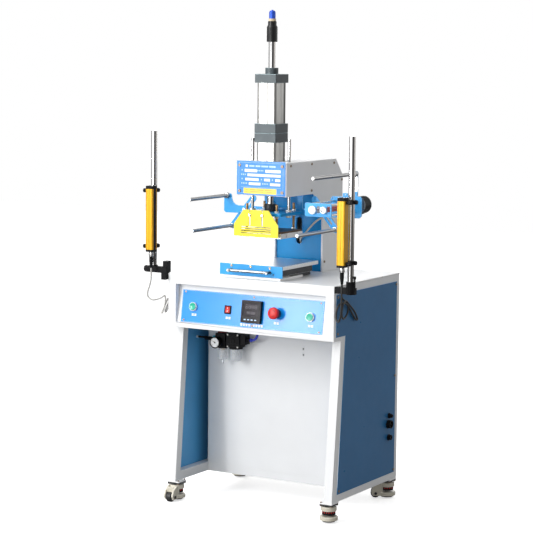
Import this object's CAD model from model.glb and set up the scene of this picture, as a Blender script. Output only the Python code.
"""A foil press on a wheeled stand, with a tilted console, an air unit and two light curtains.

Places are measured in millimetres from the table's front edge (y = 0) and top (z = 0): x runs to
the right, y to the back and z up. point() turns them into metres in the row frame.
"""
import bpy
import bmesh
import math
from collections import namedtuple
from mathutils import Matrix, Vector

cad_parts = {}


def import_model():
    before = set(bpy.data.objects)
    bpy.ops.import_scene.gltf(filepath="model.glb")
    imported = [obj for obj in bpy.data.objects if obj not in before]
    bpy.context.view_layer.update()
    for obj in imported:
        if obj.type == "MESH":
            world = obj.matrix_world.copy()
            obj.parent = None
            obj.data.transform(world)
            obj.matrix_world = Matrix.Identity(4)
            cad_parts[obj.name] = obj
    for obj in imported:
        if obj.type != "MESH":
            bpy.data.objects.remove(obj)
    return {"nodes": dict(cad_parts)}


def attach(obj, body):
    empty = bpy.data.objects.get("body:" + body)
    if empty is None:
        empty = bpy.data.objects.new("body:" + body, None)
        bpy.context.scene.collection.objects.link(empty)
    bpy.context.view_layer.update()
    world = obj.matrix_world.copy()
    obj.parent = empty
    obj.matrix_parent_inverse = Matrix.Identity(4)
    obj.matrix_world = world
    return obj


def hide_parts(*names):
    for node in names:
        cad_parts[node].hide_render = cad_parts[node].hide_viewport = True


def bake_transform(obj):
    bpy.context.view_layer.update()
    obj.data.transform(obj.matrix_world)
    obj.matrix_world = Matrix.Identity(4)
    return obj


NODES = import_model()["nodes"]
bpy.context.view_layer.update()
scene = bpy.context.scene

# The row frame's origin, in the measuring millimetres
ORIGIN_Y = 130
ORIGIN_Z = 47

# The console's face: its slope and the middle of its surface
CONSOLE_TILT = math.radians(81.25)
CONSOLE_Y = 14
CONSOLE_Z = -104
BUTTON_X = 218
ROCKER_X = -87
EMERGENCY_X = 95
CONTROLLER_X = 5.5

NAME_PLATE_FRONT_Y = 66.97

# Light curtains: sign of x, bottom of the yellow profile, and the heights of its two knobs
CURTAINS = {"left": (-1, 78, (88, 270)), "right": (1, 73, (78, 266))}
CURTAIN_X = 353
CURTAIN_Y = -34
CURTAIN_LENGTH = 198
POST_X = 365

# Casters: x and y of the mounting axis, and the heading of the wheel in degrees
CASTERS = {"fl": (-287, 23, -90), "fr": (287, 23, 120), "rl": (-287, 427, 100), "rr": (287, 427, 210)}
CASTER_Z = -691
FLOOR_Z = -756

# Air service unit
UNIT_Y = 165
UNIT_FRONT_Y = 145
FILTER_X = -199
LUBRICATOR_X = -149

RIGHT, BACK, FRONT, UP = (1, 0, 0), (0, 1, 0), (0, -1, 0), (0, 0, 1)
ACROSS_VIEW = (0.862, 0.507, 0.0)  # level direction towards the right of the view


def point(x, y, z):
    """Measuring millimetres to row frame metres."""
    return Vector((x / 1000, (y - ORIGIN_Y) / 1000, (z - ORIGIN_Z) / 1000))


def console_point(x, y, z=0.0):
    """A point on the tilted console, in millimetres: across, up the slope, out of the face."""
    return point(x, CONSOLE_Y + y * math.cos(CONSOLE_TILT) - z * math.sin(CONSOLE_TILT),
                 CONSOLE_Z + y * math.sin(CONSOLE_TILT) + z * math.cos(CONSOLE_TILT))


# ---------------------------------------------------------------- shader nodes
def set_inputs(tree, node, inputs):
    """Sets inputs to plain values, or links them where a socket is given."""
    for key, value in inputs.items():
        if isinstance(value, bpy.types.NodeSocket):
            tree.links.new(value, node.inputs[key])
        else:
            node.inputs[key].default_value = value


def add_node(tree, kind, inputs, **settings):
    node = tree.nodes.new("ShaderNode" + kind)
    for key, value in settings.items():
        setattr(node, key, value)
    set_inputs(tree, node, inputs)
    return node


def noise(tree, vector, scale, detail):
    values = {"Vector": vector, "Scale": scale, "Detail": detail}
    return add_node(tree, "TexNoise", values).outputs[0]


def calculate(tree, operation, first, second):
    return add_node(tree, "Math", {0: first, 1: second}, operation=operation).outputs[0]


def dot_product(tree, vector, axis):
    node = add_node(tree, "VectorMath", {0: vector, 1: axis}, operation="DOT_PRODUCT")
    return node.outputs["Value"]


def map_range(tree, value, from_low, from_high, to_low=0.0, to_high=1.0):
    return add_node(tree, "MapRange", {"Value": value, "From Min": from_low, "From Max": from_high,
                                       "To Min": to_low, "To Max": to_high}).outputs[0]


def colour_ramp(tree, factor, stops):
    """Stops are (position, colour)."""
    node = add_node(tree, "ValToRGB", {0: factor})
    elements = node.color_ramp.elements
    while len(elements) < len(stops):
        elements.new(0.5)
    for element, (position, colour) in zip(elements, stops):
        element.position = position
        element.color = (*colour, 1)
    return node.outputs[0]


def mix_colour(tree, factor, first, second, blend="MIX"):
    node = add_node(tree, "Mix", {0: factor, 6: first, 7: second},
                    data_type="RGBA", blend_type=blend)
    return node.outputs[2]


# ------------------------------------------------------------------- materials
def make_material(name, colour, rough, metal=0.0, vary=0.05, to_colour=None, spread=0.08,
                  bump=0.05, bump_scale=700.0, depth=0.0003, grain=None, coat=0.0, specular=0.5,
                  alpha=1.0, spots=0.0, spot_colour=None, spot_scale=160.0, bands=None):
    """A worn surface: drifting colour and roughness over a fine bump.

    vary is the share the colour drifts by, up towards to_colour if given; None leaves the base
    colour for the caller to wire. spread is the drift of the roughness. bump, bump_scale and
    depth shape the fine structure, and grain is its stretched scale on brushed metal. spots is
    how strongly worn spots show. bands is (source, axis, low, high, stops), see banded().
    """
    material = bpy.data.materials.new(name)
    material.use_nodes = True
    material.diffuse_color = (*colour, 1)
    tree = material.node_tree
    tree.nodes.clear()
    place = add_node(tree, "TexCoord", {}).outputs["Object"]
    base = None
    if vary is not None:
        low = [v * (1 - vary) for v in colour]
        high = [min(1, v * (1 + vary) + vary * 0.01) for v in to_colour or colour]
        base = colour_ramp(tree, noise(tree, place, 9.0, 4), [(0.3, low), (0.72, high)])
    if grain:
        stretched = add_node(tree, "Mapping", {"Vector": place, "Scale": grain}).outputs[0]
        structure = noise(tree, stretched, 1.0, 3)
        streaks = map_range(tree, structure, 0.3, 0.7, 0.82, 1.0)
        base = mix_colour(tree, 1.0, base, streaks, "MULTIPLY")
    else:
        structure = noise(tree, place, bump_scale, 3)
    if spots:
        patches = calculate(tree, "MULTIPLY", noise(tree, place, spot_scale, 5),
                            noise(tree, place, 14.0, 2))
        amount = map_range(tree, patches, 0.36, 0.42, 0.0, spots)
        base = mix_colour(tree, amount, base, (*spot_colour, 1))
    if bands:
        base = banded(tree, base, *bands)
    roughness = map_range(tree, noise(tree, place, 32.0, 6), 0.25, 0.75,
                          max(0.02, rough - spread), rough + spread)
    normal = add_node(tree, "Bump", {"Strength": bump, "Distance": depth, "Height": structure})
    shader = add_node(tree, "BsdfPrincipled", {
        "Roughness": roughness, "Normal": normal.outputs[0], "Metallic": metal,
        "Specular IOR Level": specular, "IOR": 1.5, "Coat Weight": coat, "Coat Roughness": 0.06,
        "Alpha": alpha})
    if base:
        set_inputs(tree, shader, {"Base Color": base})
    add_node(tree, "OutputMaterial", {0: shader.outputs[0]})
    return material


def banded(tree, base, source, axis, low, high, stops):
    """Multiplies a colour by bands along an axis, as polished bars show.

    source "normal" reads the direction a face points in, and "place" its place.
    """
    if source == "normal":
        vector = add_node(tree, "NewGeometry", {}).outputs["Normal"]
    else:
        vector = add_node(tree, "TexCoord", {}).outputs["Object"]
    along = map_range(tree, dot_product(tree, vector, axis), low, high)
    return mix_colour(tree, 1.0, base, colour_ramp(tree, along, stops), "MULTIPLY")


def chipped(strength, colour):
    """Small worn chips along painted edges."""
    return dict(spots=strength, spot_colour=colour, spot_scale=300)


PAINT = dict(bump_scale=1100, depth=0.00025, spread=0.06)
PANEL_PAINT = dict(bump_scale=1100, depth=0.00025, spread=0.05, vary=0.04, specular=0.4)
INK = dict(bump=0.08, bump_scale=2500)
BRUSHED = dict(depth=0.00006)

# Bands: position along the axis from 0 to 1, and the colour to multiply by
SLATE_STOPS = [(0.0, (1, 1, 1)), (0.8, (1, 1, 1)),
               (0.9, (0.68, 0.66, 0.66)), (1.0, (0.68, 0.66, 0.66))]
CHROME_STOPS = [
    (0.0, (0.3, 0.28, 0.27)), (0.05, (0.5, 0.48, 0.46)), (0.13, (1, 1, 1)), (0.50, (1, 1, 1)),
    (0.58, (0.14, 0.12, 0.12)), (0.68, (0.12, 0.11, 0.11)), (0.76, (0.86, 0.83, 0.80)),
    (0.93, (0.9, 0.86, 0.82)), (1.0, (0.35, 0.32, 0.30))]
DRAWN_STOPS = [(0.0, (0.12, 0.12, 0.13)), (0.30, (0.2, 0.2, 0.22)), (0.45, (0.62, 0.62, 0.62)),
               (0.75, (0.8, 0.8, 0.8)), (1.0, (0.95, 0.95, 0.95))]
BARREL_GREYS = [(0.0, 0.45), (0.09, 0.62), (0.17, 1.0), (0.48, 1.0), (0.59, 0.72), (0.64, 0.62),
                (0.84, 0.72), (0.92, 0.5), (0.95, 0.1), (1.0, 0.1)]
BARREL_STOPS = [(position, (v, v, v * 0.99)) for position, v in BARREL_GREYS]
barrel_places = [ACROSS_VIEW[0] * v.co.x + ACROSS_VIEW[1] * v.co.y
                 for v in NODES["cylinder_barrels"].data.vertices]
BARREL_BANDS = ("place", ACROSS_VIEW, min(barrel_places), max(barrel_places), BARREL_STOPS)

# key: (name, colour, roughness, other settings of make_material)
MATERIAL_TABLE = {
    "white": ("white_powder_coat", (0.83, 0.84, 0.85), 0.38, dict(vary=0.02, **PAINT)),
    "white_edge": ("white_powder_coat_edges", (0.9, 0.9, 0.9), 0.3, dict(
        vary=0.03, bump=0.15, bump_scale=1100, **chipped(0.5, (0.45, 0.45, 0.44)))),
    "blue": ("blue_powder_coat", (0.004, 0.265, 0.63), 0.34, dict(
        to_colour=(0.005, 0.285, 0.67), specular=0.30, **PAINT)),
    "blue_edge": ("blue_powder_coat_edges", (0.10, 0.42, 0.85), 0.3, dict(
        vary=0.06, **chipped(0.5, (0.5, 0.6, 0.7)))),
    "rim_blue": ("dark_blue_slot_rim", (0.006, 0.03, 0.22), 0.3, {}),
    "screw_tan": ("dull_screw", (0.34, 0.27, 0.20), 0.38, dict(metal=0.7, vary=0.1, bump=0.1)),
    "inner_blue": ("inner_panel_paint", (0.10, 0.42, 0.80), 0.34, PANEL_PAINT),
    "side_blue": ("side_panel_paint", (0.024, 0.148, 0.34), 0.32, PANEL_PAINT),
    "curtain_side": ("shaded_profile_side", (0.60, 0.31, 0.008), 0.34, dict(
        metal=0.2, vary=0.03, bump=0.03, depth=0.00005)),
    "panel": ("console_overlay", (0.004, 0.30, 0.90), 0.24, dict(
        vary=0.015, bump=0.02, bump_scale=1800, depth=0.0001, spread=0.01, specular=0.45)),
    "panel_edge": ("console_overlay_edges", (0.12, 0.45, 0.95), 0.3, {}),
    "feed_blue": ("foil_feed_paint", (0.03, 0.37, 0.86), 0.33, dict(
        bump_scale=1100, spread=0.05, to_colour=(0.04, 0.40, 0.9), specular=0.4)),
    "feed_edge": ("foil_feed_paint_edges", (0.35, 0.68, 0.95), 0.3, dict(
        vary=0.06, **chipped(0.5, (0.7, 0.78, 0.85)))),
    "plate_blue": ("name_plate_print", (0.07, 0.31, 0.88), 0.32, dict(
        vary=0.04, bump=0.03, bump_scale=1500, specular=0.3)),
    "plate_line": ("name_plate_lines", (0.45, 0.68, 0.96), 0.3, dict(vary=0.04)),
    "ink_white": ("white_ink", (0.9, 0.91, 0.92), 0.35, dict(vary=0.03, **INK)),
    "ink_yellow": ("yellow_ink", (0.95, 0.78, 0.10), 0.35, INK),
    "ink_orange": ("orange_ink", (0.9, 0.38, 0.10), 0.35, {}),
    "slate": ("slate_anodised", (0.088, 0.111, 0.121), 0.44, dict(
        metal=0.05, vary=0.06, bump=0.18, bump_scale=900, spread=0.06,
        to_colour=(0.092, 0.116, 0.127), bands=("normal", RIGHT, -1.0, 1.0, SLATE_STOPS))),
    "slate_edge": ("slate_anodised_edges", (0.28, 0.36, 0.38), 0.3, dict(metal=0.5, vary=0.1)),
    "barrel": ("extruded_aluminium", (0.72, 0.715, 0.695), 0.33, dict(
        metal=1.0, vary=0.02, grain=(420, 420, 2), spread=0.03, bands=BARREL_BANDS, **BRUSHED)),
    "alu": ("machined_aluminium", (0.80, 0.805, 0.81), 0.34, dict(
        metal=1.0, vary=0.03, grain=(6, 420, 420), spread=0.04, **BRUSHED)),
    "bar_end": ("turned_bar_end", (0.86, 0.86, 0.85), 0.42, dict(metal=0.55, vary=0.04)),
    "alu_edge": ("machined_aluminium_edges", (0.9, 0.9, 0.9), 0.2, dict(metal=1.0)),
    "chrome": ("hard_chrome", (0.74, 0.74, 0.74), 0.10, dict(
        metal=1.0, vary=0.02, bump=0.01, bump_scale=120, depth=0.00002, spread=0.03,
        bands=("normal", ACROSS_VIEW, -1.0, 1.0, CHROME_STOPS))),
    "chrome_y": ("drawn_bar_chrome", (0.70, 0.70, 0.70), 0.30, dict(
        metal=1.0, vary=0.03, bump=0.02, bump_scale=150, depth=0.00002, spread=0.04,
        bands=("normal", UP, -1.0, 1.0, DRAWN_STOPS))),
    "zinc": ("bright_zinc", (0.80, 0.79, 0.76), 0.26, dict(
        metal=0.85, vary=0.06, bump=0.04, bump_scale=900)),
    "nut": ("bright_nut", (0.88, 0.88, 0.86), 0.3, dict(metal=0.5, bump=0.04)),
    "brass": ("yellow_zinc_stud", (0.46, 0.29, 0.14), 0.34, dict(
        metal=1.0, vary=0.18, grain=(40, 40, 2600), bump=0.5, spread=0.1)),
    "brass_clean": ("brass_fitting", (0.78, 0.52, 0.22), 0.25, dict(metal=1.0, vary=0.06)),
    "steel_dark": ("blackened_steel", (0.045, 0.047, 0.05), 0.42, dict(
        metal=0.6, vary=0.15, bump=0.1, bump_scale=600, spots=0.5,
        spot_colour=(0.14, 0.14, 0.14))),
    "gloss_black": ("polished_black_oxide", (0.006, 0.006, 0.007), 0.16, dict(
        vary=0.1, bump=0.02, bump_scale=500, specular=0.6)),
    "cream": ("cream_washer", (0.72, 0.60, 0.42), 0.45, dict(vary=0.1, bump=0.1)),
    "tip_blue": ("royal_blue_anodised", (0.035, 0.12, 0.72), 0.3, dict(
        metal=0.35, vary=0.08, bump=0.06, bump_scale=900)),
    "mica": ("mica_board", (0.16, 0.085, 0.045), 0.62, dict(
        vary=0.25, grain=(40, 40, 2200), bump=0.4)),
    "yellow": ("yellow_guard_paint", (0.90, 0.72, 0.010), 0.38, dict(
        vary=0.04, bump=0.25, bump_scale=1000, spread=0.06, to_colour=(0.98, 0.84, 0.02))),
    "yellow_edge": ("yellow_guard_edges", (0.97, 0.86, 0.2), 0.3,
                    chipped(0.35, (0.5, 0.42, 0.2))),
    "curtain": ("yellow_anodised_profile", (0.88, 0.50, 0.004), 0.34, dict(
        metal=0.25, vary=0.01, bump=0.02, bump_scale=1500, depth=0.00005, spread=0.02)),
    "curtain_rib": ("anodised_rib", (0.80, 0.36, 0.002), 0.34, dict(
        metal=0.25, vary=0.02, bump=0.02)),
    "window": ("dark_sensor_window", (0.003, 0.003, 0.006), 0.2, dict(
        vary=0.2, bump=0.01, specular=0.16)),
    "black": ("black_moulding", (0.007, 0.007, 0.008), 0.46, dict(
        vary=0.12, bump=0.2, bump_scale=1500, depth=0.0002, spread=0.1, specular=0.14)),
    "black_gloss": ("black_gloss_moulding", (0.010, 0.009, 0.012), 0.26, dict(
        vary=0.1, bump=0.03, bump_scale=600, specular=0.14)),
    "display": ("controller_window", (0.012, 0.008, 0.015), 0.14, dict(
        vary=0.2, bump=0.01, specular=0.12)),
    "segment": ("unlit_segments", (0.06, 0.045, 0.07), 0.25, dict(vary=0.1)),
    "key_icon": ("key_marks", (0.55, 0.72, 0.95), 0.35, {}),
    "green": ("green_button", (0.012, 0.50, 0.33), 0.22, dict(bump_scale=900, coat=0.4)),
    "red": ("red_button", (0.66, 0.024, 0.022), 0.34, dict(
        bump=0.06, bump_scale=1200, specular=0.3)),
    "ring": ("white_bezel", (0.80, 0.81, 0.82), 0.2, dict(vary=0.03, bump=0.03, coat=0.3)),
    "estop_base": ("grey_switch_base", (0.05, 0.055, 0.065), 0.4, dict(
        vary=0.06, bump=0.2, bump_scale=1400)),
    "red_roller": ("red_feed_roller", (0.42, 0.006, 0.012), 0.16, dict(
        vary=0.12, bump=0.08, coat=0.5)),
    "motor": ("motor_case", (0.032, 0.036, 0.038), 0.34, dict(metal=0.5, vary=0.15, bump=0.15)),
    "gearbox": ("gearbox_casting", (0.42, 0.43, 0.44), 0.45, dict(
        metal=0.8, vary=0.1, bump=0.35, bump_scale=500)),
    "cable_grey": ("grey_cable", (0.52, 0.51, 0.49), 0.45, dict(
        vary=0.06, bump=0.15, bump_scale=900)),
    "cable_black": ("black_cable", (0.018, 0.018, 0.018), 0.4, dict(
        vary=0.1, bump=0.15, bump_scale=900)),
    "cable_beige": ("beige_lead", (0.62, 0.56, 0.46), 0.42, dict(
        vary=0.08, bump=0.15, bump_scale=900)),
    "cable_yellow": ("yellow_lead", (0.85, 0.66, 0.03), 0.4, {}),
    "hose_blue": ("blue_air_hose", (0.028, 0.045, 0.52), 0.25, dict(
        vary=0.06, bump=0.04, coat=0.3)),
    "bowl": ("clear_bowl", (0.80, 0.83, 0.86), 0.08, dict(
        vary=0.04, bump=0.03, alpha=0.30, coat=0.6, specular=0.7)),
    "dial": ("dial_face", (0.86, 0.87, 0.88), 0.35, dict(vary=0.02, bump=0.02)),
    "ink_black": ("black_ink", (0.02, 0.02, 0.02), 0.4, dict(vary=0.1)),
    "teal": ("teal_collar", (0.01, 0.36, 0.46), 0.3, dict(
        vary=0.08, bump=0.08, bump_scale=900, coat=0.3)),
    "dark_red": ("dark_red_ring", (0.22, 0.008, 0.01), 0.35, dict(vary=0.1)),
    "cream_cast": ("cream_caster_paint", (0.62, 0.58, 0.48), 0.36, dict(
        vary=0.08, bump=0.3, bump_scale=600, depth=0.0004)),
    "cream_edge": ("cream_caster_edges", (0.78, 0.75, 0.66), 0.34, dict(
        vary=0.08, **chipped(0.4, (0.3, 0.28, 0.24)))),
    "wheel": ("black_nylon_wheel", (0.02, 0.02, 0.021), 0.4, dict(
        vary=0.2, bump=0.3, bump_scale=500, spots=0.5, spot_colour=(0.09, 0.085, 0.08))),
    "rubber": ("rubber_pad", (0.025, 0.024, 0.023), 0.7, dict(
        vary=0.15, bump=0.5, bump_scale=800)),
    "cage": ("sheet_zinc", (0.55, 0.56, 0.58), 0.34, dict(
        metal=0.9, vary=0.12, bump=0.1, bump_scale=400)),
    "floor": ("pale_floor", (0.92, 0.92, 0.92), 0.6, dict(
        vary=None, bump=0.02, bump_scale=60, specular=0.15)),
}
MATERIALS = {key: make_material(name, colour, rough, **settings)
             for key, (name, colour, rough, settings) in MATERIAL_TABLE.items()}


def wire_floor_colour():
    """The floor glows and is paler for the camera than for the light it bounces."""
    tree = MATERIALS["floor"].node_tree
    camera_ray = add_node(tree, "LightPath", {}).outputs["Is Camera Ray"]
    set_inputs(tree, tree.nodes["Principled BSDF"], {
        "Emission Strength": calculate(tree, "MULTIPLY", camera_ray, 0.62),
        "Emission Color": (1, 1, 1, 1),
        "Base Color": mix_colour(tree, camera_ray, (0.36, 0.36, 0.36, 1), (0.92, 0.92, 0.92, 1))})


wire_floor_colour()

# ------------------------------------------------------ finish of the CAD pieces
# What a rule sees of a face: its centre, the box of its loose part, and its normal.
# Lengths are in the measuring millimetres.
Face = namedtuple("Face", "x y z low high size normal")
Point = namedtuple("Point", "x y z")


def measured(place):
    """Row frame metres back to measuring millimetres."""
    return Point(place[0] * 1000, place[1] * 1000 + ORIGIN_Y, place[2] * 1000 + ORIGIN_Z)


def loose_parts(data):
    """Part number of each polygon, joining vertices that sit at the same place."""
    numbers = {}
    root = []

    def find(i):
        while root[i] != i:
            root[i] = root[root[i]]
            i = root[i]
        return i

    joined = []
    for vertex in data.vertices:
        key = tuple(round(v, 6) for v in vertex.co)
        if key not in numbers:
            numbers[key] = len(root)
            root.append(len(root))
        joined.append(numbers[key])
    for polygon in data.polygons:
        first = find(joined[polygon.vertices[0]])
        for i in polygon.vertices[1:]:
            root[find(joined[i])] = first
    return [find(joined[polygon.vertices[0]]) for polygon in data.polygons]


def faces_of(data):
    """Yields each polygon with its Face."""
    parts = loose_parts(data)
    boxes = {}
    for polygon, part in zip(data.polygons, parts):
        for i in polygon.vertices:
            place = data.vertices[i].co
            low, high = boxes.setdefault(part, (place.copy(), place.copy()))
            for axis in range(3):
                low[axis] = min(low[axis], place[axis])
                high[axis] = max(high[axis], place[axis])
    for polygon, part in zip(data.polygons, parts):
        low, high = (measured(corner) for corner in boxes[part])
        size = Point(high.x - low.x, high.y - low.y, high.z - low.z)
        yield polygon, Face(*measured(polygon.center), low, high, size, polygon.normal)


def finish(name, main, *rules, edge=None, bevel=0.5, segments=2):
    """Materials by face, then welded, cleaned and rounded edges as modifiers.

    A rule is (material, test); the last one whose test a face passes wins.
    """
    piece = NODES[name]
    data = piece.data
    keys = [main]
    for key, _ in rules:
        if key not in keys:
            keys.append(key)
    if edge:
        keys.append(edge)
    data.materials.clear()
    for key in keys:
        data.materials.append(MATERIALS[key])
    if rules:
        for polygon, face in faces_of(data):
            chosen = main
            for key, test in rules:
                if test(face):
                    chosen = key
            polygon.material_index = keys.index(chosen)
    for attribute in ("custom_normal", "sharp_edge", "sharp_face"):
        if attribute in data.attributes:
            data.attributes.remove(data.attributes[attribute])
    for polygon in data.polygons:
        polygon.use_smooth = True

    weld = piece.modifiers.new("weld", "WELD")
    weld.merge_threshold = 2e-6
    clean = piece.modifiers.new("clean", "DECIMATE")
    clean.decimate_type = "DISSOLVE"
    clean.angle_limit = math.radians(0.6)
    clean.delimit = {"MATERIAL"}
    if bevel:
        rounding = piece.modifiers.new("round", "BEVEL")
        rounding.width = bevel / 1000
        rounding.segments = segments
        rounding.limit_method = "ANGLE"
        rounding.angle_limit = math.radians(38)
        rounding.use_clamp_overlap = False
        rounding.miter_outer = "MITER_ARC"
        if edge:
            rounding.material = len(keys) - 1
    triangles = piece.modifiers.new("tri", "TRIANGULATE")
    triangles.keep_custom_normals = False
    triangles.min_vertices = 5
    normals = piece.modifiers.new("normals", "WEIGHTED_NORMAL")
    normals.weight = 100
    normals.keep_sharp = True


# Stand, cabinet and console
finish("stand_frame", "white", edge="white_edge", bevel=1.6, segments=3)
finish("side_panels", "side_blue",
       ("inner_blue", lambda face: face.x < 0 and face.normal.x > 0.5),
       edge="blue_edge", bevel=0.4)
finish("cabinet_panels", "white", edge="white_edge", bevel=0.4)
finish("console_frame", "white", bevel=0.4)
finish("control_panel", "panel", edge="panel_edge", bevel=0.35)
finish("screws", "zinc",
       ("screw_tan", lambda face: (face.y < 72 and face.z > 260 or abs(face.x) > 90
                                   or face.y < 40 and -170 < face.z < -50)), bevel=0.25)
finish("temperature_controller", "black_gloss", ("cage", lambda face: face.y > 25))
finish("switch_bodies", "ring",
       ("estop_base", lambda face: face.y > 16.5 or 70 < face.x < 120),
       ("black", lambda face: -110 < face.x < -60), bevel=0.4)
finish("side_sockets", "black", bevel=0.4)
finish("emergency_stop", "red", bevel=0.6, segments=3)
finish("rocker_switch", "red", bevel=0.3)
finish("control_gear", "cage",
       ("slate", lambda face: face.low.x < -85 and 5 < face.high.x < 20),
       ("gearbox", lambda face: face.low.x > 30 and face.high.x < 160),
       ("ring", lambda face: face.high.z < -365 and face.size.x > 290), bevel=0.6)
finish("air_service_unit", "black",
       ("teal", lambda face: (-236.2 < face.x < -217.9 and face.size.x > 60
                              and (face.y - 165) ** 2 + (face.z + 231) ** 2 < 11 ** 2)),
       ("ink_white", lambda face: face.x < -301.5), bevel=0.7)
finish("regulator_knob", "black", bevel=0.8, segments=3)

# Column, head and press
finish("press_cheeks", "white", edge="white_edge", bevel=0.7)
finish("column_plate", "blue",
       ("rim_blue", lambda face: face.high.z < 190 and face.low.z > 70),
       edge="blue_edge", bevel=0.6)
finish("head_cover", "white", edge="white_edge", bevel=0.6)
finish("name_plate", "plate_blue", edge="plate_line", bevel=0.4)
finish("head_block", "alu")
finish("cylinder_caps", "slate", edge="slate_edge", bevel=0.9, segments=3)
finish("cylinder_barrels", "barrel", bevel=0.0)
finish("piston_rod", "chrome",
       ("cream", lambda face: 818.9 < face.z < 827.05 and face.high.z < 830),
       ("tip_blue", lambda face: face.low.z > 826),
       ("steel_dark", lambda face: face.high.z < 240),
       ("alu", lambda face: 400 < face.low.z < 640 and face.size.z < 30))
finish("stroke_nut", "gloss_black", segments=3)
finish("guide_rods", "chrome", ("zinc", lambda face: face.size.z < 30))
finish("press_plate", "blue", ("zinc", lambda face: face.y < 41.2), edge="blue_edge", bevel=0.6)
finish("levelling_studs", "brass", ("nut", lambda face: face.size.z < 10), bevel=0.3)
finish("insulation_plate", "mica", ("slate", lambda face: face.normal.z > 0.8), bevel=0.4)
finish("heating_plate", "alu", edge="alu_edge", bevel=0.7)
finish("front_guard", "yellow", edge="yellow_edge", bevel=0.35)

# Worktable
finish("worktable_base", "steel_dark", ("bar_end", lambda face: face.z < 8.1 and face.y < 163.5))
finish("worktable_plate", "alu", ("steel_dark", lambda face: face.z < 34.9),
       edge="alu_edge", bevel=0.9)
finish("worktable_front", "feed_blue",
       ("steel_dark", lambda face: face.y < 8.98),
       ("brass_clean", lambda face: face.y < 8.98 and face.z > 36),
       edge="feed_edge", bevel=0.35)

# Foil feed
finish("foil_bracket", "feed_blue",
       ("zinc", lambda face: (face.size.x < 30 and face.size.y < 30
                              or face.size.x < 12 and face.size.y > 60)),
       ("ring", lambda face: 22 < face.size.x < 29 and face.size.y < 12 and face.low.y < 60),
       ("cage", lambda face: face.low.z > 261 and face.low.x > 249 and face.low.y > 216.5),
       edge="feed_edge")
finish("foil_spindles", "chrome_y",
       ("zinc", lambda face: face.size.y < 40),
       ("bar_end", lambda face: face.y < -21 and face.normal.y < -0.9), bevel=0.9)
finish("gear_motor", "motor", ("gearbox", lambda face: face.y < 229.2), bevel=0.7, segments=3)
finish("drive_roller", "red_roller",
       ("zinc", lambda face: face.y < 54.05 or face.y > 210.9),
       ("black", lambda face: abs(face.normal.y) > 0.8 and 44 < face.y < 60))
finish("idler_roller", "alu",
       ("black", lambda face: (44 < face.y < 60
                               or abs(face.normal.y) > 0.8 and 44 < face.y < 214)))

# Light curtains and the pieces that come in pairs
finish("curtain_posts", "chrome", bevel=0.9, segments=3)
finish("curtain_brackets", "black", bevel=0.8, segments=3)
for side, (sign, base_z, _) in CURTAINS.items():
    top_z = base_z + CURTAIN_LENGTH
    finish("start_button_" + side, "green", bevel=0.8, segments=3)
    finish("foil_arm_" + side, "feed_blue",
           ("chrome_y", lambda face: face.y < 217.0),
           ("zinc", lambda face: face.low.y > 219 and face.size.y < 12 or face.size.x < 20),
           ("chrome_y", lambda face: face.low.y < 0 and face.size.x < 20),
           ("bar_end", lambda face: face.y < -33 and face.normal.y < -0.9),
           edge="feed_edge", bevel=0.45)
    finish("light_curtain_" + side, "curtain",
           ("curtain_side", lambda face: face.normal.x > 0.8 and base_z < face.z < top_z),
           ("window", lambda face: face.size.x < 3),
           ("black", lambda face: face.z < base_z - 0.01 or face.z > top_z + 0.005),
           ("chrome", lambda face: base_z - 22.02 < face.z < base_z - 7.03),
           ("black", lambda face: face.y > -19.97 or abs(face.x - sign * CURTAIN_X) > 13.6))

# Casters
finish("caster_plates", "steel_dark")
for corner in CASTERS:
    finish("caster_%s_housing" % corner, "cream_cast", edge="cream_edge", bevel=1.3, segments=3)
    finish("caster_%s_wheel" % corner, "wheel", bevel=1.0, segments=3)
    finish("caster_%s_foot" % corner, "black",
           ("rubber", lambda face: face.z < CASTER_Z - 56.4),
           ("zinc", lambda face: (CASTER_Z - 56.4 <= face.z < CASTER_Z - 38.6
                                  or face.z > CASTER_Z - 26.4)), bevel=0.7)


# ----------------------------------------------------------- building new pieces
def add_piece(mesh, name, materials, body, smooth=True, sharp_angle=40):
    """Makes an object of a bmesh; materials is a string of keys, body what it rides on."""
    data = bpy.data.meshes.new(name)
    mesh.normal_update()
    mesh.to_mesh(data)
    mesh.free()
    piece = bpy.data.objects.new(name, data)
    scene.collection.objects.link(piece)
    for key in materials.split():
        data.materials.append(MATERIALS[key])
    if smooth:
        for polygon in data.polygons:
            polygon.use_smooth = True
        data.set_sharp_from_angle(angle=math.radians(sharp_angle))
    if body:
        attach(piece, body)
    return piece


def smooth_path(points, steps):
    """A Catmull-Rom curve through the points, with this many steps between two of them."""
    points = [points[0] * 2 - points[1]] + points + [points[-1] * 2 - points[-2]]
    path = []
    for i in range(1, len(points) - 2):
        before, start, end, after = points[i - 1:i + 3]
        for k in range(steps):
            t = k / steps
            path.append(0.5 * ((2 * start) + (end - before) * t
                               + (2 * before - 5 * start + 4 * end - after) * t * t
                               + (3 * start - before - 3 * end + after) * t ** 3))
    path.append(points[-2])
    return path


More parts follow.
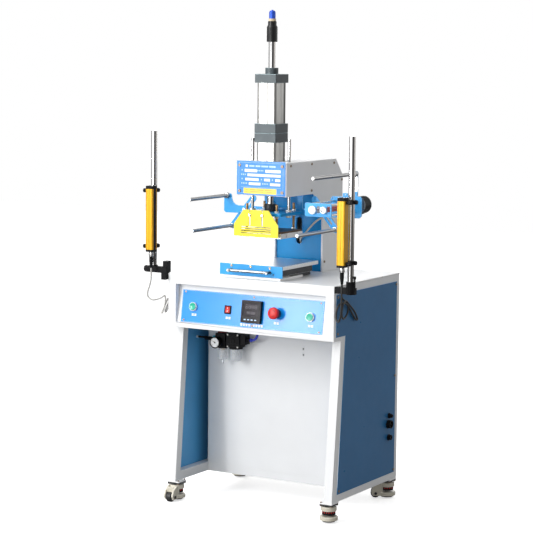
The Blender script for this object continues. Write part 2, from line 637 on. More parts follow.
def sweep(mesh, path, radius, sides):
    """A capped round bar; radius is millimetres, or a function of the way along, 0 to 1."""
    last = len(path) - 1
    heading = (path[1] - path[0]).normalized()
    across = heading.cross(Vector(UP if abs(heading.z) < 0.9 else RIGHT)).normalized()
    angles = [2 * math.pi * k / sides for k in range(sides)]
    rings = []
    for i, centre in enumerate(path):
        heading = (path[min(i + 1, last)] - path[max(i - 1, 0)]).normalized()
        across = (across - heading * across.dot(heading)).normalized()
        other = heading.cross(across)
        size = (radius(i / last) if callable(radius) else radius) / 1000
        rings.append([mesh.verts.new(centre + (across * math.cos(a) + other * math.sin(a)) * size)
                      for a in angles])
    for ring, following in zip(rings, rings[1:]):
        for k in range(sides):
            after = (k + 1) % sides
            mesh.faces.new((ring[k], ring[after], following[after], following[k]))
    mesh.faces.new(list(reversed(rings[0])))
    mesh.faces.new(rings[-1])


def tube(name, points, radius, material, body, steps=10, sides=14):
    """A cable or hose through a table of (x, y, z) points."""
    mesh = bmesh.new()
    sweep(mesh, smooth_path([point(*place) for place in points], steps), radius, sides)
    return add_piece(mesh, name, material, body)


def lathe(mesh, profile, centre, axis, sides, ribs=None, slot_index=0):
    """Turns a profile of (radius, height) in millimetres round an axis.

    ribs is (count, depth, first, last): grooves over those profile points.
    """
    axis = Vector(axis).normalized()
    across = axis.cross(Vector(UP if abs(axis.z) < 0.9 else RIGHT)).normalized()
    other = axis.cross(across)
    rings = []
    for i, (radius, height) in enumerate(profile):
        middle = centre + axis * (height / 1000)
        if radius == 0:
            rings.append([mesh.verts.new(middle)])
            continue
        ring = []
        for k in range(sides):
            angle = 2 * math.pi * k / sides
            size = radius
            if ribs and ribs[2] <= i <= ribs[3]:
                size -= ribs[1] * (0.5 + 0.5 * math.cos(angle * ribs[0]))
            outward = across * math.cos(angle) + other * math.sin(angle)
            ring.append(mesh.verts.new(middle + outward * (size / 1000)))
        rings.append(ring)
    for ring, following in zip(rings, rings[1:]):
        if len(ring) == 1 and len(following) == 1:
            continue
        for k in range(sides):
            after = (k + 1) % sides
            if len(ring) == 1:
                corners = (ring[0], following[after], following[k])
            elif len(following) == 1:
                corners = (ring[k], ring[after], following[0])
            else:
                corners = (ring[k], ring[after], following[after], following[k])
            mesh.faces.new(corners).material_index = slot_index
    bmesh.ops.recalc_face_normals(mesh, faces=mesh.faces)


def turned(name, materials, body, slot, *parts):
    """A piece of turned parts; each part is the arguments of lathe after the mesh."""
    mesh = bmesh.new()
    for part in parts:
        lathe(mesh, *part)
    return add_piece(mesh, name, materials, body)


def bar(mesh, width, height, corner, place, thickness, slot_index=0, steps=4):
    """A flat bar with rounded corners; place maps its own (x, y, z) millimetres to the frame."""
    outline = []
    for sign_x, sign_y, start in ((1, 1, 0), (-1, 1, 90), (-1, -1, 180), (1, -1, 270)):
        for k in range(steps + 1):
            angle = math.radians(start + 90 * k / steps)
            outline.append((sign_x * (width / 2 - corner) + corner * math.cos(angle),
                            sign_y * (height / 2 - corner) + corner * math.sin(angle)))
    top = [mesh.verts.new(place(x, y, thickness)) for x, y in outline]
    bottom = [mesh.verts.new(place(x, y, 0)) for x, y in outline]
    faces = [mesh.faces.new(top), mesh.faces.new(list(reversed(bottom)))]
    for k in range(len(outline)):
        after = (k + 1) % len(outline)
        faces.append(mesh.faces.new((bottom[k], bottom[after], top[after], top[k])))
    for face in faces:
        face.material_index = slot_index


def line_frame(mesh, width, height, line, place, thickness, slot_index=0):
    """Four thin bars round a rectangle."""
    for middle_x, middle_y, long, high in (
            (0, height / 2, width, line), (0, -height / 2, width, line),
            (-width / 2, 0, line, height), (width / 2, 0, line, height)):
        bar(mesh, long, high, line * 0.4,
            lambda x, y, z: place(x + middle_x, y + middle_y, z), thickness, slot_index, 2)


# --------------------------------------------------------------------- name plate
# Height, bar height, white bars and short label runs; both as (centre x, width)
PLATE_ROWS = [
    (343, 9.5, [(-37.5, 47), (44.5, 57)], [(-70, 10), (-2, 24)]),
    (329, 8.5, [(11.5, 123)], [(-65, 20)]),
    (315, 8.5, [(-33, 50), (23, 22), (62.5, 19)], [(-70, 10), (2, 8), (43, 9)]),
    (301, 8.5, [(-23, 44), (53, 38)], [(-62, 24), (16, 24)])]
# Height and (centre x, width) of the orange bars on the yellow strip
STRIP_ROWS = [(281.5, [(-53, 9), (-30, 22), (-2, 26), (28, 26)]),
              (275.5, [(-53, 9), (-14, 50), (31, 20)])]


def on_plate(middle_x, middle_z, lift=0.0):
    return lambda x, y, z: point(middle_x + x, NAME_PLATE_FRONT_Y - lift - z, middle_z + y)


def name_plate_print():
    mesh = bmesh.new()
    line_frame(mesh, 164, 97, 0.8, on_plate(0, 320), 0.15, 1)
    bar(mesh, 150, 0.7, 0.3, on_plate(0, 290.2), 0.15, 1)
    bar(mesh, 8, 8, 1.5, on_plate(-53, 358), 0.15)
    for x, width in ((-34, 20), (-11, 18), (14, 26), (42, 24)):
        bar(mesh, width, 5.5, 1.4, on_plate(x, 358), 0.15, 1)
    for z, height, boxes, labels in PLATE_ROWS:
        for x, width in boxes:
            bar(mesh, width, height, 1.2, on_plate(x, z), 0.18)
        for x, width in labels:
            count = int(width / 6)
            for k in range(count):
                mark_x = x - width / 2 + (k + 0.5) * width / count
                bar(mesh, 3.6, 4.6, 0.8, on_plate(mark_x, z + 1), 0.15, 1)
    add_piece(mesh, "name_plate_bars", "ink_white plate_line", "machine", False)

    mesh = bmesh.new()
    bar(mesh, 122, 18, 1.5, on_plate(-3, 278.2), 0.18)
    for z, marks in STRIP_ROWS:
        for x, width in marks:
            bar(mesh, width, 2.2, 1.0, on_plate(x, z, 0.18), 0.1, 1)
    add_piece(mesh, "name_plate_strip", "ink_yellow ink_orange", "machine", False)


# ------------------------------------------------------------------------ console
def on_panel(middle_x, middle_y, lift=0.0):
    return lambda x, y, z: console_point(middle_x + x, middle_y + y, 0.03 + lift + z)


def console_print():
    """Plain bars under the controls, and a line round the panel."""
    mesh = bmesh.new()
    for x, y in ((-214, -27), (-84, -27.5), (96, -30), (220, -29)):
        for shift in (-5.0, 5.0):
            bar(mesh, 8.2, 3.0, 0.7, on_panel(x + shift, y + 2.2), 0.14)
            bar(mesh, 8.2, 3.0, 0.7, on_panel(x + shift, y - 1.9), 0.14)
    for k in range(4):
        for start in (-32.5, 14):
            x = start + 9.8 * k
            bar(mesh, 8.0, 3.4, 0.7, on_panel(x, -42.3), 0.14)
            bar(mesh, 7.0, 2.6, 0.7, on_panel(x, -46.2), 0.14)
    add_piece(mesh, "console_marks", "ink_white", "machine", False)
    mesh = bmesh.new()
    line_frame(mesh, 524, 101, 0.5, on_panel(0, 0), 0.1)
    add_piece(mesh, "console_edge_line", "plate_line", "machine", False)


def digit(mesh, middle_x, middle_y, width, height, line):
    """Seven raised segments of an unlit figure."""
    lift = 11.04
    for y in (height / 2, 0, -height / 2):
        bar(mesh, width * 0.8, line, line * 0.4, on_panel(middle_x, middle_y + y, lift),
            0.05, steps=2)
    for sign_x in (-1, 1):
        for sign_y in (-1, 1):
            place = on_panel(middle_x + sign_x * width / 2, middle_y + sign_y * height / 4, lift)
            bar(mesh, line, height * 0.40, line * 0.4, place, 0.05, steps=2)


def controller_details():
    """Window with two rows of figures, marks on the keys, and a line round the bezel."""
    mesh = bmesh.new()
    bar(mesh, 57.6, 43.6, 1.2, on_panel(CONTROLLER_X, 6, 10.52), 0.5)
    add_piece(mesh, "controller_window", "display", "machine", False)
    mesh = bmesh.new()
    for k in range(4):
        digit(mesh, CONTROLLER_X - 16.5 + 11 * k, 15, width=7, height=11.5, line=1.2)
        digit(mesh, CONTROLLER_X - 12 + 8 * k, -5, width=4.6, height=7.5, line=0.9)
    add_piece(mesh, "controller_figures", "segment", "machine", False)
    mesh = bmesh.new()
    for k in range(4):
        bar(mesh, 7.4, 3.6, 0.9, on_panel(CONTROLLER_X - 19.5 + 13 * k, -27, 12.82), 0.12)
    add_piece(mesh, "controller_key_marks", "key_icon", "machine", False)
    mesh = bmesh.new()
    line_frame(mesh, 64, 60, 0.8, on_panel(CONTROLLER_X, 1.5, 12.01), 0.25)
    add_piece(mesh, "controller_bezel_line", "black", "machine", False)


def on_rocker(middle_x, middle_y):
    """Places on the two slopes of the rocker, which rise from its middle line."""
    def place(x, y, z):
        along = middle_y + y
        rise = -along * 2.2 / 9.9 if along < 0 else along * 1.3 / 9.9
        return console_point(ROCKER_X + middle_x + x, -1 + along, 2.6 + rise + 0.04 + z)
    return place


def rocker_marks():
    """A short bar above a ring of small squares."""
    mesh = bmesh.new()
    bar(mesh, 1.2, 4.6, 0.4, on_rocker(0, 5.0), 0.1)
    for k in range(12):
        angle = 2 * math.pi * k / 12
        bar(mesh, 1.0, 1.0, 0.3,
            on_rocker(2.1 * math.cos(angle), -4.6 + 2.1 * math.sin(angle)), 0.1, steps=2)
    add_piece(mesh, "rocker_marks", "ink_white", "rocker", False)


def button_details():
    """Dished start caps and their bezel rims, and three arcs on the emergency stop."""
    outward = (console_point(0, 0, 1) - console_point(0, 0, 0)).normalized()
    for side, x in (("left", -BUTTON_X), ("right", BUTTON_X)):
        centre = console_point(x, -1, 0)
        turned("start_button_cap_" + side, "green", "start_" + side, "green_plastic",
               ([(0, 9.55), (8.2, 9.62), (9.2, 10.1), (10.2, 10.3), (11.0, 10.1), (11.65, 9.5),
                 (11.7, 9.0), (0, 9.0)], centre, outward, 48))
        turned("start_bezel_rim_" + side, "ring", "machine", "white_plastic",
               ([(12.1, 7.1), (12.4, 7.6), (13.6, 7.6), (14.2, 7.0), (14.2, 6.6), (12.1, 6.6),
                 (12.1, 7.1)], centre, outward, 56))
    mesh = bmesh.new()
    for k in range(3):
        angles = [2 * math.pi * k / 3 + 0.4 + step * 0.12 for step in range(10)]
        sweep(mesh, [console_point(EMERGENCY_X + 10.2 * math.cos(angle),
                                   0.7 + 10.2 * math.sin(angle), 31.25) for angle in angles],
              radius=0.7, sides=8)
    add_piece(mesh, "emergency_stop_arrows", "dark_red", "emergency_stop")


# --------------------------------------------------------------- air service unit
def pressure_gauge():
    """Bezel, dial, 25 ticks over 270 degrees and a tapered needle with its hub."""
    centre = point(-208, 128, -237)
    turned("gauge_bezel", "black", "machine", "black_plastic",
           ([(15.8, 0.2), (16.3, 2.2), (18.6, 2.4), (19.6, 1.2), (19.8, -3), (19.1, -3),
             (18.9, 0.0), (15.8, 0.2)], centre, FRONT, 64))
    turned("gauge_dial", "dial", "machine", "black_plastic",
           ([(0, 0.3), (16.8, 0.3), (16.8, 0.05), (0, 0.05)], centre, FRONT, 48))

    def on_dial(x, y, z, angle):
        cosine, sine = math.cos(angle), math.sin(angle)
        return centre + Vector(((x * cosine - y * sine) / 1000, -z / 1000,
                                (x * sine + y * cosine) / 1000))

    mesh = bmesh.new()
    for k in range(25):
        angle = math.radians(225 - 270 * k / 24)
        length, width = (1.9, 0.55) if k % 6 else (3.2, 0.9)
        middle = 14.6 - length / 2
        bar(mesh, length, width, 0.2,
            lambda x, y, z: on_dial(x + middle, y, 0.34 + z, angle), 0.08, steps=2)
    bar(mesh, 15, 2.2, 0.5,
        lambda x, y, z: on_dial(x + 3.5, y * max(0.25, 1 - (x + 7.5) / 17), 0.5 + z,
                                math.radians(150)), 0.25)
    lathe(mesh, [(0, 1.6), (2.2, 1.4), (2.6, 0.4), (0, 0.4)], centre, FRONT, 24)
    add_piece(mesh, "gauge_marks", "ink_black", "machine", False)


def regulator():
    """Ribbed knob and the dark red ring round its foot."""
    foot = point(FILTER_X, UNIT_Y, -207.6)
    knob = turned("regulator_knob_ribbed", "black", "regulator", "black_plastic",
                  ([(0, 0), (15.0, 0), (16.0, 1.2), (16.0, 4.0), (15.8, 5.0), (15.8, 21.5),
                    (14.6, 25.5), (12.0, 26.8), (0, 26.8)], foot, UP, 144, (24, 1.1, 4, 6)))
    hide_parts("regulator_knob")
    turned("regulator_lock_ring", "dark_red", "regulator", "black_plastic",
           ([(16.4, 2.1), (17.2, 2.4), (17.2, 4.4), (16.4, 4.7), (16.4, 2.1)], foot, UP, 64))


def bowls():
    """Clear bowls with their inner parts, their collars, and the housing's small details."""
    left = point(FILTER_X, UNIT_Y, -253)
    right = point(-148, UNIT_Y, -252)
    clear = turned(
        "bowls_clear", "bowl", "machine", "clear_bowl",
        ([(13.0, 0), (15.5, 0), (15.5, -4), (15.0, -6), (14.7, -36), (13.5, -42.5), (9.5, -45.2),
          (4, -45.8), (4, -44.0), (9.0, -43.6), (12.2, -41.0), (13.2, -35.5), (13.4, -4),
          (13.0, 0)], left, UP, 72, (12, 0.5, 3, 5)),
        ([(18.5, 0), (21.0, 0), (21.0, -4), (20.4, -6), (20.0, -36), (18.5, -43.6),
          (13.0, -46.5), (0, -47.0), (0, -45.2), (12.5, -44.8), (17.2, -42.0), (18.5, -35.5),
          (18.8, -4), (18.5, 0)], right, UP, 72, (14, 0.5, 3, 5)))
    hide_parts("air_bowls")
    turned("filter_element", "brass_clean", "machine", "black_plastic",
           ([(0, 0), (5.2, 0), (5.6, -2), (5.6, -12), (4.6, -13.5), (0, -13.5)],
            left + Vector((0.002, 0, -0.0002)), UP, 36, (18, 0.4, 1, 3)))
    turned("bowl_inner_parts", "cage", "machine", "black_plastic",
           ([(0, 0), (2.2, 0), (2.2, -26), (0, -26)], left + Vector((0.002, 0, -0.014)), UP, 24),
           ([(0, 0), (2.6, 0), (2.8, -6), (3.6, -7.5), (3.4, -12.5), (2.2, -13.5), (0, -13.5)],
            left + Vector((0, 0, -0.0455)), UP, 24),
           ([(0, 0), (3.0, 0), (3.0, -30), (2.4, -33), (0, -33)], right, UP, 24))

    # Bowl collars, top dome, front ribs and two round covers
    mesh = bmesh.new()
    lathe(mesh, [(14.8, 3.5), (17.6, 3.5), (18.0, 2.2), (18.0, -4.2), (17.2, -5.2), (15.8, -5.2),
                 (15.8, 1), (14.8, 3.5)], left, UP, 96, (12, 0.7, 2, 3))
    lathe(mesh, [(20.5, 3.5), (22.6, 3.5), (23.1, 2.2), (23.1, -4.2), (22.4, -5.2), (21.3, -5.2),
                 (21.3, 1), (20.5, 3.5)], right, UP, 96, (14, 0.7, 2, 3))
    lathe(mesh, [(0, 6), (4, 5.5), (6.5, 3), (7, 0), (0, 0)],
          point(LUBRICATOR_X, UNIT_Y, -206), UP, 32)
    for rib_z in (-247, -243, -239, -219, -215, -211):
        bar(mesh, 44, 1.8, 0.7,
            lambda x, y, z: point(LUBRICATOR_X + x, UNIT_FRONT_Y - z, rib_z + y), 0.9)
    lathe(mesh, [(0, 2), (8.5, 2), (9.5, 1), (9.5, 0), (0, 0)],
          point(LUBRICATOR_X, UNIT_FRONT_Y, -229), FRONT, 48)
    lathe(mesh, [(0, 1.5), (9.5, 1.5), (10.5, 0.8), (10.5, 0), (0, 0)],
          point(-104, UNIT_Y, -224), RIGHT, 48)
    add_piece(mesh, "air_unit_details", "black", "machine")
    screw = [(0, 1.2), (1.4, 1.2), (1.6, 1.8), (2.6, 1.8), (3.0, 1), (3.0, 0), (0, 0)]
    turned("air_unit_screws", "zinc", "machine", "zinc",
           *((screw, point(x, UNIT_FRONT_Y, z), FRONT, 24)
             for x in (-168, -130) for z in (-249, -209)))


def air_connections():
    """Inlet collar and tip, and the hose from the unit to the knee panel with its nut."""
    turned("inlet_collar", "teal", "machine", "black_plastic",
           ([(10.1, 0), (11.0, 0.8), (11.2, 2), (11.2, 12), (10.8, 15.5), (10.1, 16.5),
             (10.1, 0)], point(-235.5, UNIT_Y, -231), RIGHT, 96, (24, 0.6, 2, 3)))
    turned("inlet_tip", "ink_white", "machine", "zinc",
           ([(0, -0.8), (3.0, -0.6), (4.4, 1), (4.6, 4), (4.0, 6.5), (3.6, 8), (0, 8)],
            point(-302.5, UNIT_Y, -229), RIGHT, 32))
    hose = tube("air_hose", [
        (-93, 165, -224), (-84, 165, -223.8), (-74, 165, -219.5), (-66.5, 165, -209),
        (-64, 165, -192), (-64, 165, -165), (-64, 168, -149), (-64, 179, -138),
        (-64, 196, -136), (-64, 222, -136)], 4, "hose_blue", "machine", 12, 20)
    turned("hose_nut", "hose_blue", "machine", "hose",
           ([(4.2, 0), (6.2, 0.3), (6.6, 1.5), (6.6, 5), (5.5, 6.2), (4.2, 6.2), (4.2, 0)],
            point(-92, UNIT_Y, -224), RIGHT, 36))
    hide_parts("hoses_and_cables")


# ---------------------------------------------------------------- motor and leads
def motor_details():
    """Rings round the case, bolts on its back and gearbox, and two thin leads."""
    turned("motor_rings", "motor", "machine", "dark_steel",
           *(([(26.8, y), (27.9, y + 0.6), (27.9, y + 2.2), (26.8, y + 2.8), (26.2, y + 1.4),
               (26.8, y)], point(266, 233, 236), BACK, 72)
             for y in [3.5 + k * 5.4 for k in range(7)]))
    bolts = []
    for k in range(4):
        angle = math.radians(45 + 90 * k)
        centre = point(266 + 20.5 * math.cos(angle), 271, 236 + 20.5 * math.sin(angle))
        bolts.append(([(0, 3.4), (2.6, 3.4), (3.2, 2.4), (3.2, 0), (0, 0)], centre, BACK, 24))
    for k in range(3):
        angle = math.radians(200 + 40 * k)
        centre = point(258 + 22.5 * math.cos(angle), 229.05, 234 + 22.5 * math.sin(angle))
        bolts.append(([(0, 3), (2.6, 3), (3.0, 2), (3.0, 0), (0, 0)], centre, BACK, 20))
    turned("motor_bolts", "brass_clean", "machine", "bronze_zinc", *bolts)
    tube("motor_lead_red", [
        (270, 274, 230), (274, 281, 226), (270, 284, 214), (252, 282, 206), (228, 268, 204),
        (206, 246, 205)], 1.3, "cable_yellow", "machine", sides=10)
    tube("motor_lead_black", [
        (266, 274, 240), (268, 283, 240), (270, 288, 226), (262, 287, 208), (236, 276, 200),
        (206, 248, 202)], 1.3, "cable_black", "machine", sides=10)


def column_leads():
    """The foil feed's lead, and the heater's, which bends between column and press."""
    tube("foil_feed_lead", [
        (2, 330, 92), (4, 322, 98), (14, 306, 108), (36, 288, 122), (72, 262, 150),
        (112, 240, 178), (150, 227, 195), (178, 224, 203), (206, 240, 205)],
         3.0, "cable_beige", "machine", 12)
    lead = tube("heater_lead", [
        (-4, 330, 108), (-4, 320, 109), (-6, 300, 113), (-16, 268, 125), (-30, 238, 140),
        (-42, 214, 143), (-46, 205, 139.5), (-46, 199, 138)], 3.2, "cable_grey", None, 12)
    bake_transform(lead)
    turned("heater_gland", "zinc", "press", "zinc",
           ([(3.4, 0), (6.0, 0.4), (6.4, 2), (5.8, 10), (4.0, 12), (3.4, 12), (3.4, 0)],
            point(-46, 199.8, 138), BACK, 32))


# ----------------------------------------------------------------- light curtains
LEFT_CABLE = [
    (-353, -34, 23), (-353, -34.2, 2), (-353, -34.5, -12), (-354.5, -34.5, -26),
    (-360, -34, -44), (-367, -33, -62), (-366, -32, -78), (-350, -28, -88), (-328, -16, -82),
    (-316, -8, -74), (-318, -4, -100), (-328, -2, -128), (-334, 0, -132), (-326, 4, -112),
    (-315, 10, -84), (-316, 14, -108), (-326, 14, -130), (-330, 16, -124), (-318, 22, -92),
    (-313.5, 30, -70), (-313.5, 44, -50), (-313.5, 58, -38), (-312, 66, -34)]
RIGHT_CABLE = [
    (353, -34, 18), (353, -34, 4), (352.5, -34, -20), (352, -33.5, -50), (350, -32, -80),
    (343, -28, -100), (332, -20, -106), (323, -14, -94), (321, -4, -70), (322, 18, -54),
    (323, 44, -56), (324, 63, -68), (325, 56, -90), (326, 34, -103), (328, 18, -98),
    (328, 14, -80), (325, 30, -56), (321, 54, -50), (320, 84, -68), (319, 118, -92),
    (317, 140, -117), (316, 128, -116), (316, 98, -88), (316, 66, -58), (315, 46, -44),
    (313.5, 40, -38)]


def curtain_details(side, sign, base_z, knob_heights):
    """Plug, ribs on the front and inner faces, cap screws and clamp knobs of one curtain."""
    body = "curtain_" + side
    curtain_x = sign * CURTAIN_X
    middle_z = base_z + CURTAIN_LENGTH / 2
    turned("plug_boot_" + side, "black", body, "black_plastic",
           ([(0, 0), (5.8, 0), (6.0, -4), (4.5, -12), (3.6, -18), (0, -18)],
            point(curtain_x, CURTAIN_Y, base_z - 42), UP, 36, (9, 0.5, 1, 3)))
    turned("plug_nut_" + side, "chrome", body, "zinc",
           ([(6.6, 0), (7.9, 0.4), (8.2, 1.5), (8.2, 8.5), (7.8, 9.8), (6.6, 10.0), (6.6, 0)],
            point(curtain_x, CURTAIN_Y, base_z - 20.5), UP, 120, (30, 0.4, 2, 3)))

    mesh = bmesh.new()
    for shift in (-9.0, 0.2, 9.4):
        bar(mesh, 2.2, CURTAIN_LENGTH - 1, 0.8,
            lambda x, y, z: point(curtain_x + shift + x, -48.0 - z, middle_z + y), 0.7)
    for shift in (-8.5, 8.5):
        bar(mesh, 2.0, CURTAIN_LENGTH - 1, 0.8,
            lambda x, y, z: point(curtain_x - sign * (13.5 + z), CURTAIN_Y + shift + x,
                                  middle_z + y), 0.6)
    add_piece(mesh, "curtain_ribs_" + side, "curtain_rib", body, False)

    screw = [(0, 0.6), (1.2, 0.6), (1.3, 1.2), (2.1, 1.2), (2.3, 0.6), (2.3, 0), (0, 0)]
    turned("curtain_cap_screws_" + side, "zinc", body, "zinc",
           *((screw, point(curtain_x + x, CURTAIN_Y + y, base_z + 208.04), UP, 20)
             for x, y in ((-9, -9.5), (9, -9.5), (9, 9.5), (-9, 9.5))))
    knobs = []
    for z in knob_heights:
        knobs.append(([(0, 7.5), (5.6, 7.5), (6.6, 6.6), (6.8, 1.8), (6.0, 0.4), (0, 0)],
                      point(sign * POST_X + 13, 0, z), RIGHT, 96, (12, 1.0, 1, 4)))
        knobs.append(([(0, 0), (5.6, 0), (6.8, 1), (6.8, 9), (5.6, 10), (0, 10)],
                      point(curtain_x + sign * 19.5, CURTAIN_Y, z), (sign, 0, 0), 96,
                      (12, 1.0, 1, 4)))
    turned("curtain_knobs_" + side, "black_gloss", body, "black_plastic", *knobs)


def curtain_cable(side, points, radius, material):
    """A cable that bends between fixed_z, where the machine holds it, and the curtain."""
    cable = tube("curtain_cable_" + side, points, radius, material, None, 12)
    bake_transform(cable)


def light_curtains():
    for side, dimensions in CURTAINS.items():
        curtain_details(side, *dimensions)
    curtain_cable("left", LEFT_CABLE, radius=2.6, material="cable_grey")
    curtain_cable("right", RIGHT_CABLE, radius=3.0, material="cable_black")
    turned("bracket_knobs", "black_gloss", "machine", "black_plastic",
           ([(0, 0), (8.8, 0), (10.2, 1), (10.6, 3), (10.6, 9.0), (9.6, 10.2), (0, 10.4)],
            point(-388.6, 0, 10.5), (-1, 0, 0), 120, (16, 1.2, 2, 5)),
           ([(0, 0), (3.4, 0), (4.2, 2), (4.4, 6), (3.4, 8.5), (0, 8.8)],
            point(380, 0, 28), UP, 36))


# ---------------------------------------------------------------------- worktable
def worktable_handle():
    """A slightly bellied grip bar with its ends set back, and a screw at each end."""
    path = [point(x, -11.5 if abs(x) < 66 else -9.5, 27)
            for x in [-75.5 + 151 * k / 40 for k in range(41)]]
    mesh = bmesh.new()
    sweep(mesh, path, lambda t: 3.4 + 0.5 * math.sin(math.pi * t), 20)
    add_piece(mesh, "handle_grip", "chrome_y", "worktable")
    for side, x in (("l", -71), ("r", 71)):
        turned("handle_screw_" + side, "zinc", "worktable", "zinc",
               ([(0, 3.6), (2.0, 3.6), (2.3, 4.4), (4.0, 4.4), (4.6, 3.4), (4.6, 0), (0, 0)],
                point(x, -13.1, 27), FRONT, 36))


# ------------------------------------------------------------------------ casters
def caster_hood(corner, axle, heading, sideways):
    """An arched shell over the top of the wheel."""
    mesh = bmesh.new()
    outer, inner = [], []
    for k in range(15):
        angle = math.radians(118 - 45 * k / 14)
        for shell, scale in ((outer, 1.0), (inner, 0.90)):
            radius = 0.0196 * scale
            place = (axle + heading * (math.cos(angle) * radius)
                     + Vector((0, 0, math.sin(angle) * radius)))
            shell.append((mesh.verts.new(place - sideways * 0.0165),
                          mesh.verts.new(place + sideways * 0.0165)))
    for shell in (outer, inner):
        for pair, after in zip(shell, shell[1:]):
            mesh.faces.new((pair[0], pair[1], after[1], after[0]))
    for i in range(len(outer) - 1):
        for end in (0, 1):
            mesh.faces.new((outer[i][end], outer[i + 1][end], inner[i + 1][end], inner[i][end]))
    for i in (0, -1):
        mesh.faces.new((outer[i][0], outer[i][1], inner[i][1], inner[i][0]))
    bmesh.ops.recalc_face_normals(mesh, faces=mesh.faces)
    add_piece(mesh, "caster_hood_" + corner, "cream_cast", "caster_" + corner,
              sharp_angle=30)


def caster_details(corner, x, y, heading_degrees):
    """Thumb dial with a red and a black ribbed ring, axle nuts and the hood."""
    base = point(x, y, CASTER_Z)
    turned("caster_dial_" + corner, "red black", "caster_%s_foot" % corner, "red_plastic",
           ([(15.0, -26.6), (20.8, -26.6), (21.9, -27.2), (21.9, -32.2), (20.8, -32.8),
             (15.0, -32.8), (15.0, -26.6)], base, UP, 144, (18, 1.6, 1, 4), 0),
           ([(15.0, -33.0), (20.8, -33.0), (21.9, -33.7), (21.9, -37.8), (20.8, -38.4),
             (15.0, -38.4), (15.0, -33.0)], base, UP, 144, (24, 1.0, 1, 4), 1))
    angle = math.radians(heading_degrees)
    heading = Vector((math.cos(angle), math.sin(angle), 0))
    sideways = Vector((-math.sin(angle), math.cos(angle), 0))
    axle = base + heading * 0.038 + Vector((0, 0, -0.049))
    nut = [(0, 3.4), (2.4, 3.4), (4.2, 2.6), (5.2, 1.0), (5.2, 0), (0, 0)]
    turned("caster_axle_nuts_" + corner, "steel_dark", "caster_" + corner, "cream_paint",
           *((nut, axle + sideways * (0.018 * sign), sideways * sign, 6) for sign in (-1, 1)))
    caster_hood(corner, axle, heading, sideways)


# ------------------------------------------------------------------- side sockets
def socket_details():
    """Round and six-sided nuts on the sockets of the right side, and three pins."""
    turned("socket_nuts", "black_gloss", "machine", "black_plastic",
           ([(7.6, 0), (8.8, 0.3), (9.0, 3.0), (8.0, 3.6), (7.6, 3.6), (7.6, 0)],
            point(310, 387, -470), RIGHT, 48),
           ([(0, 0.9), (1.0, 0.9), (1.2, 1.7), (4.6, 1.7), (5.2, 1.0), (5.2, 0), (0, 0)],
            point(323, 387, -470), RIGHT, 40),
           ([(13.6, 0), (15.2, 0.3), (15.4, 3.4), (14.2, 4.2), (13.6, 4.2), (13.6, 0)],
            point(310, 381, -497), RIGHT, 6),
           ([(8.6, 0), (10.8, 0.4), (11.0, 4.4), (10.0, 5.0), (8.6, 5.0), (8.6, 0)],
            point(310, 385, -542), RIGHT, 6))
    turned("socket_pins", "brass_clean", "machine", "bronze_zinc",
           *(([(0, 6), (0.7, 5.8), (0.8, 0), (0, 0)],
              point(313.9, 381 + 6.4 * math.cos(angle), -497 + 6.4 * math.sin(angle)), RIGHT, 12)
             for angle in [2 * math.pi * k / 3 + 0.5 for k in range(3)]))


# -------------------------------------------------------------------------- stage
def add_floor():
    """A square grid just under the feet; half and z are in metres."""
    half, cells = 9.0, 24
    z = point(0, 0, FLOOR_Z).z - 0.0002
    steps = [-half + 2 * half * i / cells for i in range(cells + 1)]
    mesh = bmesh.new()
    grid = [[mesh.verts.new((x, y, z)) for y in steps] for x in steps]
    for i in range(cells):
        for j in range(cells):
            mesh.faces.new((grid[i][j], grid[i + 1][j], grid[i + 1][j + 1], grid[i][j + 1]))
    add_piece(mesh, "floor", "floor", None, smooth=False)


def build_world():
    """White for the camera; for other rays bright from the front left, with a dark gap at the
    back left and a weak glow from the back right."""
    world = bpy.data.worlds.new("studio")
    scene.world = world
    world.use_nodes = True
    tree = world.node_tree
    tree.nodes.clear()
    sky = add_node(tree, "TexCoord", {}).outputs["Generated"]

    def towards(direction, from_low, from_high, to_low, to_high):
        facing = dot_product(tree, sky, Vector(direction).normalized())
        return map_range(tree, facing, from_low, from_high, to_low, to_high)

    front_left = towards((-0.80, -0.52, 0.30), -0.16, 0.85, to_low=0.25, to_high=0.95)
    gap = towards((-0.93, 0.36, 0.0), 0.80, 0.94, to_low=1.0, to_high=0.12)
    cut = calculate(tree, "MULTIPLY", front_left, gap)
    glow = towards((0.55, 0.83, 0.05), 0.22, 1.0, to_low=0.0, to_high=0.36)
    strength = calculate(tree, "ADD", cut, glow)
    seen = add_node(tree, "Background", {0: (1, 1, 1, 1), 1: 1.0})
    lighting = add_node(tree, "Background", {0: (1, 1, 1, 1), 1: strength})
    camera_ray = add_node(tree, "LightPath", {}).outputs["Is Camera Ray"]
    mixed = add_node(tree, "MixShader",
                     {0: camera_ray, 1: lighting.outputs[0], 2: seen.outputs[0]})
    add_node(tree, "OutputWorld", {0: mixed.outputs[0]})


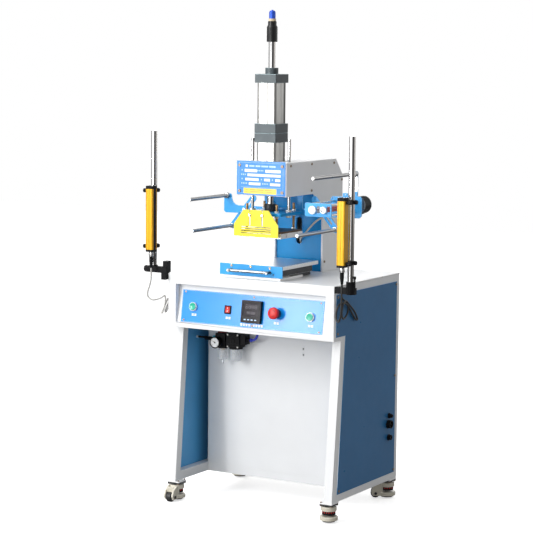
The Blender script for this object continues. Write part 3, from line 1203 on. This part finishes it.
def area_light(name, place, target, size, power, size_y=None):
    light = bpy.data.lights.new(name, "AREA")
    light.energy = power
    light.size = size
    if size_y:
        light.shape = "RECTANGLE"
        light.size_y = size_y
    holder = bpy.data.objects.new(name, light)
    scene.collection.objects.link(holder)
    holder.location = place
    aim = Vector(target) - Vector(place)
    holder.rotation_euler = aim.to_track_quat("-Z", "Y").to_euler()


def add_lights():
    area_light("key", (-2.2, -4.2, 2.4), (0, 0, 0.2), size=2.2, power=132, size_y=2.8)
    area_light("top", (-0.9, -0.5, 3.2), (0, 0.05, 0), size=2.2, power=42)
    area_light("knee", (-0.1, -3.8, 0.0), (-0.1, 0, -0.45), size=1.4, power=16)
    area_light("glare", (-1.30, -2.75, 0.22), (0.2, -0.1, -0.15), size=0.26, power=16.0,
               size_y=0.45)
    area_light("back_card", (-1.8, 3.0, 0.5), (0, 0, 0), size=1.9, power=15, size_y=0.8)
    area_light("rim", (2.6, 3.4, 1.2), (0, 0, 0.2), size=0.6, power=9, size_y=2.4)


def add_camera():
    """Looks back and to the left from the front right, slightly down and rolled."""
    data = bpy.data.cameras.new("camera")
    data.sensor_width = 36
    data.lens = 129.39
    data.clip_end = 100
    camera = bpy.data.objects.new("camera", data)
    scene.collection.objects.link(camera)
    turn, pitch, roll = math.radians(30.469), math.radians(6.605), math.radians(0.541)
    forward = Vector((-math.sin(turn) * math.cos(pitch), math.cos(turn) * math.cos(pitch),
                      -math.sin(pitch)))
    level = Vector((math.cos(turn), math.sin(turn), 0))
    upright = level.cross(forward)
    camera_x = level * math.cos(roll) + upright * math.sin(roll)
    camera_y = -level * math.sin(roll) + upright * math.cos(roll)
    matrix = Matrix((camera_x, camera_y, -forward)).transposed().to_4x4()
    matrix.translation = Vector((3.1184, -5.3227, 0.6972))
    camera.matrix_world = matrix
    scene.camera = camera


name_plate_print()
console_print()
controller_details()
rocker_marks()
button_details()
pressure_gauge()
regulator()
bowls()
air_connections()
motor_details()
column_leads()
light_curtains()
worktable_handle()
for corner, placing in CASTERS.items():
    caster_details(corner, *placing)
socket_details()
add_floor()
build_world()
add_lights()
add_camera()
scene.view_settings.view_transform = "Standard"
scene.view_settings.look = "None"
scene.view_settings.exposure = 0.0
